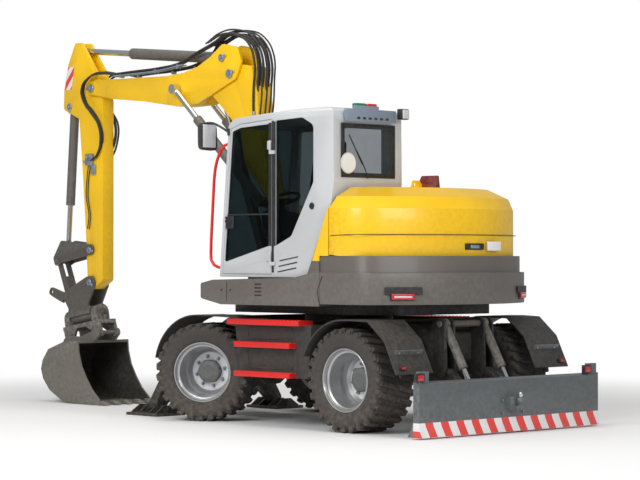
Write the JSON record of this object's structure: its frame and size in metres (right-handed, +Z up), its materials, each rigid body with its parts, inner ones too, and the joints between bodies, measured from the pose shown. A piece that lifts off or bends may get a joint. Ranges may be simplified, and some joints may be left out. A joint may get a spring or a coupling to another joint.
{
  "type": "wheeled excavator",
  "caption": "Wheeled excavator with a two-piece boom, tilting bucket, rear blade, front stabilisers and a glazed cab on a slewing upper body.",
  "frame": {"origin": "on the ground under the middle of the machine's bounding box", "axes": "+X forward from the rear blade to the bucket, +Y to the cab side (left), +Z up"},
  "size_m": [6.912, 2.6466, 3.9664],
  "materials": {
    "yellow_paint": "gloss",
    "cab_paint": "semi-gloss",
    "warm_grey_paint": "satin",
    "black_plastic": "matte",
    "blade_paint": "satin",
    "frame_paint": "satin",
    "tyre_rubber": "matte",
    "rim_silver": "satin",
    "steel": "worn",
    "chrome_rod": "polished",
    "tinted_glass": "clear",
    "seat_cloth": "woven"
  },
  "bodies": {
    "chassis": {"chassis_frame": "frame_paint", "front_axle": "frame_paint", "front_fenders": "black_plastic", "rear_fenders": "black_plastic", "rear_axle": "frame_paint", "left_steps": "black_plastic", "right_steps": "black_plastic"},
    "upper": {"cab_frame": "cab_paint", "cab_interior": "seat_cloth", "upper_frame": "frame_paint", "left_mirror": "black_plastic", "counterweight": "warm_grey_paint", "left_skirt": "warm_grey_paint", "right_housing": "yellow_paint", "quarter_glass": "tinted_glass", "right_glass": "tinted_glass", "rear_glass": "tinted_glass", "engine_block": "steel", "windshield": "tinted_glass"},
    "coupler": {"coupler": "steel"},
    "bucket_unit": {"tilt_bracket": "steel", "bucket": "steel"},
    "upper_boom": {"upper_boom": "yellow_paint"},
    "adjust_barrels": {"adjust_barrels": "yellow_paint"},
    "blade_barrels": {"blade_cylinder_barrels": "frame_paint"},
    "blade_unit": {"blade_arms": "blade_paint", "blade": "blade_paint"},
    "front_left_wheel": {"front_left_rim": "rim_silver", "front_left_tyre": "tyre_rubber"},
    "rear_left_wheel": {"rear_left_rim": "rim_silver", "rear_left_tyre": "tyre_rubber"},
    "front_right_wheel": {"front_right_rim": "rim_silver", "front_right_tyre": "tyre_rubber"},
    "rear_right_wheel": {"rear_right_rim": "rim_silver", "rear_right_tyre": "tyre_rubber"},
    "hood": {"engine_hood": "yellow_paint"},
    "stick": {"stick": "yellow_paint"},
    "lower_boom": {"lower_boom": "yellow_paint"},
    "rocker": {"rocker": "steel"},
    "left_stabiliser": {"left_stabiliser_leg": "frame_paint"},
    "right_stabiliser": {"right_stabiliser_leg": "frame_paint"},
    "link": {"link": "steel"},
    "door": {"cab_door": "cab_paint", "door_glass": "tinted_glass"},
    "bucket_barrel": {"bucket_cylinder_barrel": "yellow_paint"},
    "arm_barrel": {"arm_barrel": "yellow_paint"},
    "lift_barrel": {"lift_barrel": "yellow_paint"},
    "left_stabiliser_barrel": {"left_stabiliser_barrel": "yellow_paint"},
    "right_stabiliser_barrel": {"right_stabiliser_barrel": "yellow_paint"},
    "left_knuckle": {"left_knuckle": "frame_paint"},
    "right_knuckle": {"right_knuckle": "frame_paint"},
    "arm_rod": {"arm_rod": "chrome_rod"},
    "left_stabiliser_rod": {"left_stabiliser_rod": "chrome_rod"},
    "right_stabiliser_rod": {"right_stabiliser_rod": "chrome_rod"},
    "bucket_rod": {"bucket_cylinder_rod": "chrome_rod"},
    "right_adjust_rod": {"right_adjust_rod": "chrome_rod"},
    "left_adjust_rod": {"left_adjust_rod": "chrome_rod"},
    "lift_rod": {"lift_rod": "chrome_rod"},
    "right_blade_rod": {"right_blade_cylinder_rod": "chrome_rod"},
    "left_blade_rod": {"left_blade_cylinder_rod": "chrome_rod"}
  },
  "joints": [
    {"name": "slew", "type": "hinge", "parent": "chassis", "child": "upper", "pos_m": [-1.21697, 0, 1.058], "axis": [0, 0, 1], "continuous": true},
    {"name": "steer", "type": "hinge", "parent": "chassis", "child": "left_knuckle", "pos_m": [-0.10897, 0.769, 0.477], "axis": [0, 0, 1], "range_deg": [-62, 2]},
    {"name": "steer_right", "type": "hinge", "parent": "chassis", "child": "right_knuckle", "pos_m": [-0.10897, -0.769, 0.477], "axis": [0, 0, 1], "range_deg": [-64, 4]},
    {"name": "front_left_wheel_spin", "type": "hinge", "parent": "left_knuckle", "child": "front_left_wheel", "pos_m": [-0.18697, 0.9041, 0.477], "axis": [-0.5, 0.866, 0], "continuous": true},
    {"name": "front_right_wheel_spin", "type": "hinge", "parent": "right_knuckle", "child": "front_right_wheel", "pos_m": [-0.03097, -0.9041, 0.477], "axis": [-0.5, 0.866, 0], "continuous": true},
    {"name": "rear_left_wheel_spin", "type": "hinge", "parent": "chassis", "child": "rear_left_wheel", "pos_m": [-2.31697, 0.925, 0.477], "axis": [0, 1, 0], "continuous": true},
    {"name": "rear_right_wheel_spin", "type": "hinge", "parent": "chassis", "child": "rear_right_wheel", "pos_m": [-2.31697, -0.925, 0.477], "axis": [0, 1, 0], "continuous": true},
    {"name": "blade_lift", "type": "hinge", "parent": "chassis", "child": "blade_unit", "pos_m": [-2.74697, 0, 0.52], "axis": [0, 1, 0], "range_deg": [-8, 38]},
    {"name": "cab_door", "type": "hinge", "parent": "upper", "child": "door", "pos_m": [-1.24097, 1.067, 1.4], "axis": [0, 0, 1], "range_deg": [0, 150]},
    {"name": "engine_hood", "type": "hinge", "parent": "upper", "child": "hood", "pos_m": [-2.17697, 0, 2.23], "axis": [0, 1, 0], "range_deg": [0, 50]},
    {"name": "lower_boom", "type": "hinge", "parent": "upper", "child": "lower_boom", "pos_m": [-0.35697, 0, 2.03], "axis": [0, -1, 0], "range_deg": [-45, 18]},
    {"name": "upper_boom", "type": "hinge", "parent": "lower_boom", "child": "upper_boom", "pos_m": [0.37303, 0, 3.47], "axis": [0, -1, 0], "range_deg": [-30, 40]},
    {"name": "stick", "type": "hinge", "parent": "upper_boom", "child": "stick", "pos_m": [2.69103, 0, 3.445], "axis": [0, 1, 0], "range_deg": [-80, 20]},
    {"name": "bucket_curl", "type": "hinge", "parent": "stick", "child": "coupler", "pos_m": [2.71803, 0, 1.317], "axis": [0, 1, 0], "range_deg": [-60, 45]},
    {"name": "bucket_tilt", "type": "hinge", "parent": "coupler", "child": "bucket_unit", "pos_m": [2.66203, 0, 0.994], "axis": [0.9856, 0, -0.1692], "range_deg": [-45, 45]},
    {"name": "left_stabiliser", "type": "hinge", "parent": "chassis", "child": "left_stabiliser", "pos_m": [0.73303, 0.33, 0.5], "axis": [1, 0, 0], "range_deg": [0, 50]},
    {"name": "right_stabiliser", "type": "hinge", "parent": "chassis", "child": "right_stabiliser", "pos_m": [0.73303, -0.33, 0.5], "axis": [-1, 0, 0], "range_deg": [0, 50]},
    {"name": "lift_barrel_swing", "type": "hinge", "parent": "upper", "child": "lift_barrel", "pos_m": [-0.09697, 0, 1.36], "axis": [0, -1, 0], "range_deg": [-36.05, 15.02]},
    {"name": "lift_rod_slide", "type": "slide", "parent": "lift_barrel", "child": "lift_rod", "axis": [0.3557, 0, 0.9346], "range_m": [-0.4466, 0.1816]},
    {"name": "adjust_barrels_swing", "type": "hinge", "parent": "lower_boom", "child": "adjust_barrels", "pos_m": [-0.15497, 0, 2.15], "axis": [0, -1, 0], "range_deg": [-10.09, 13.12]},
    {"name": "left_adjust_rod_slide", "type": "slide", "parent": "adjust_barrels", "child": "left_adjust_rod", "axis": [0.7432, 0, 0.6691], "range_m": [-0.313, 0.4157]},
    {"name": "right_adjust_rod_slide", "type": "slide", "parent": "adjust_barrels", "child": "right_adjust_rod", "axis": [0.7432, 0, 0.6691], "range_m": [-0.313, 0.4157]},
    {"name": "arm_barrel_swing", "type": "hinge", "parent": "upper_boom", "child": "arm_barrel", "pos_m": [0.49203, 0, 3.641], "axis": [0, -1, 0], "range_deg": [-1.59, 3.38]},
    {"name": "arm_rod_slide", "type": "slide", "parent": "arm_barrel", "child": "arm_rod", "axis": [0.9955, 0, 0.0948], "range_m": [-0.629, 0.161]},
    {"name": "bucket_barrel_swing", "type": "hinge", "parent": "stick", "child": "bucket_barrel", "pos_m": [3.11903, 0, 3.262], "axis": [0, -1, 0], "range_deg": [-4.47, 3.6]},
    {"name": "bucket_rod_slide", "type": "slide", "parent": "bucket_barrel", "child": "bucket_rod", "axis": [0.0768, 0, -0.997], "range_m": [-0.3708, 0.2794]},
    {"name": "rocker_swing", "type": "hinge", "parent": "stick", "child": "rocker", "pos_m": [2.72803, 0, 1.672], "axis": [0, -1, 0], "range_deg": [-36.11, 47.81]},
    {"name": "link_swing", "type": "hinge", "parent": "rocker", "child": "link", "pos_m": [3.32803, 0, 1.55], "axis": [0, -1, 0], "range_deg": [-38.25, 28.94]},
    {"name": "blade_barrels_swing", "type": "hinge", "parent": "chassis", "child": "blade_barrels", "pos_m": [-2.73697, 0, 0.98], "axis": [0, 1, 0], "range_deg": [-4.54, 17.83]},
    {"name": "left_blade_rod_slide", "type": "slide", "parent": "blade_barrels", "child": "left_blade_rod", "axis": [-0.5034, 0, -0.864], "range_m": [-0.1819, 0.0422]},
    {"name": "right_blade_rod_slide", "type": "slide", "parent": "blade_barrels", "child": "right_blade_rod", "axis": [-0.5034, 0, -0.864], "range_m": [-0.1819, 0.0422]},
    {"name": "left_stabiliser_barrel_swing", "type": "hinge", "parent": "chassis", "child": "left_stabiliser_barrel", "pos_m": [0.73303, 0.25, 0.85], "axis": [1, 0, 0], "range_deg": [-1, 21.92]},
    {"name": "left_stabiliser_rod_slide", "type": "slide", "parent": "left_stabiliser_barrel", "child": "left_stabiliser_rod", "axis": [0, 0.6247, -0.7809], "range_m": [-0.182, 0.005]},
    {"name": "right_stabiliser_barrel_swing", "type": "hinge", "parent": "chassis", "child": "right_stabiliser_barrel", "pos_m": [0.73303, -0.25, 0.85], "axis": [-1, 0, 0], "range_deg": [-1, 21.92]},
    {"name": "right_stabiliser_rod_slide", "type": "slide", "parent": "right_stabiliser_barrel", "child": "right_stabiliser_rod", "axis": [0, -0.6247, -0.7809], "range_m": [-0.182, 0.005]}
  ],
  "couplings": [
    {"joint": "steer_right", "follows": "steer", "ratio": 1},
    {"joint": "lift_barrel_swing", "follows": "lower_boom", "ratio": 0.77891},
    {"joint": "lift_rod_slide", "follows": "lower_boom", "m_per_rad": 0.56229},
    {"joint": "adjust_barrels_swing", "follows": "upper_boom", "ratio": 0.30295},
    {"joint": "left_adjust_rod_slide", "follows": "upper_boom", "m_per_rad": 0.58822},
    {"joint": "right_adjust_rod_slide", "follows": "upper_boom", "m_per_rad": 0.58822},
    {"joint": "arm_barrel_swing", "follows": "stick", "ratio": -0.0297},
    {"joint": "arm_rod_slide", "follows": "stick", "m_per_rad": 0.44694},
    {"joint": "bucket_barrel_swing", "follows": "bucket_curl", "ratio": 0.05778},
    {"joint": "bucket_rod_slide", "follows": "bucket_curl", "m_per_rad": 0.34934},
    {"joint": "rocker_swing", "follows": "bucket_curl", "ratio": -0.78018},
    {"joint": "link_swing", "follows": "bucket_curl", "ratio": 0.62079},
    {"joint": "blade_barrels_swing", "follows": "blade_lift", "ratio": 0.44286},
    {"joint": "left_blade_rod_slide", "follows": "blade_lift", "m_per_rad": -0.26678},
    {"joint": "right_blade_rod_slide", "follows": "blade_lift", "m_per_rad": -0.26678},
    {"joint": "left_stabiliser_barrel_swing", "follows": "left_stabiliser", "ratio": 0.4184},
    {"joint": "left_stabiliser_rod_slide", "follows": "left_stabiliser", "m_per_rad": -0.20277},
    {"joint": "right_stabiliser_barrel_swing", "follows": "right_stabiliser", "ratio": 0.4184},
    {"joint": "right_stabiliser_rod_slide", "follows": "right_stabiliser", "m_per_rad": -0.20277}
  ]
}
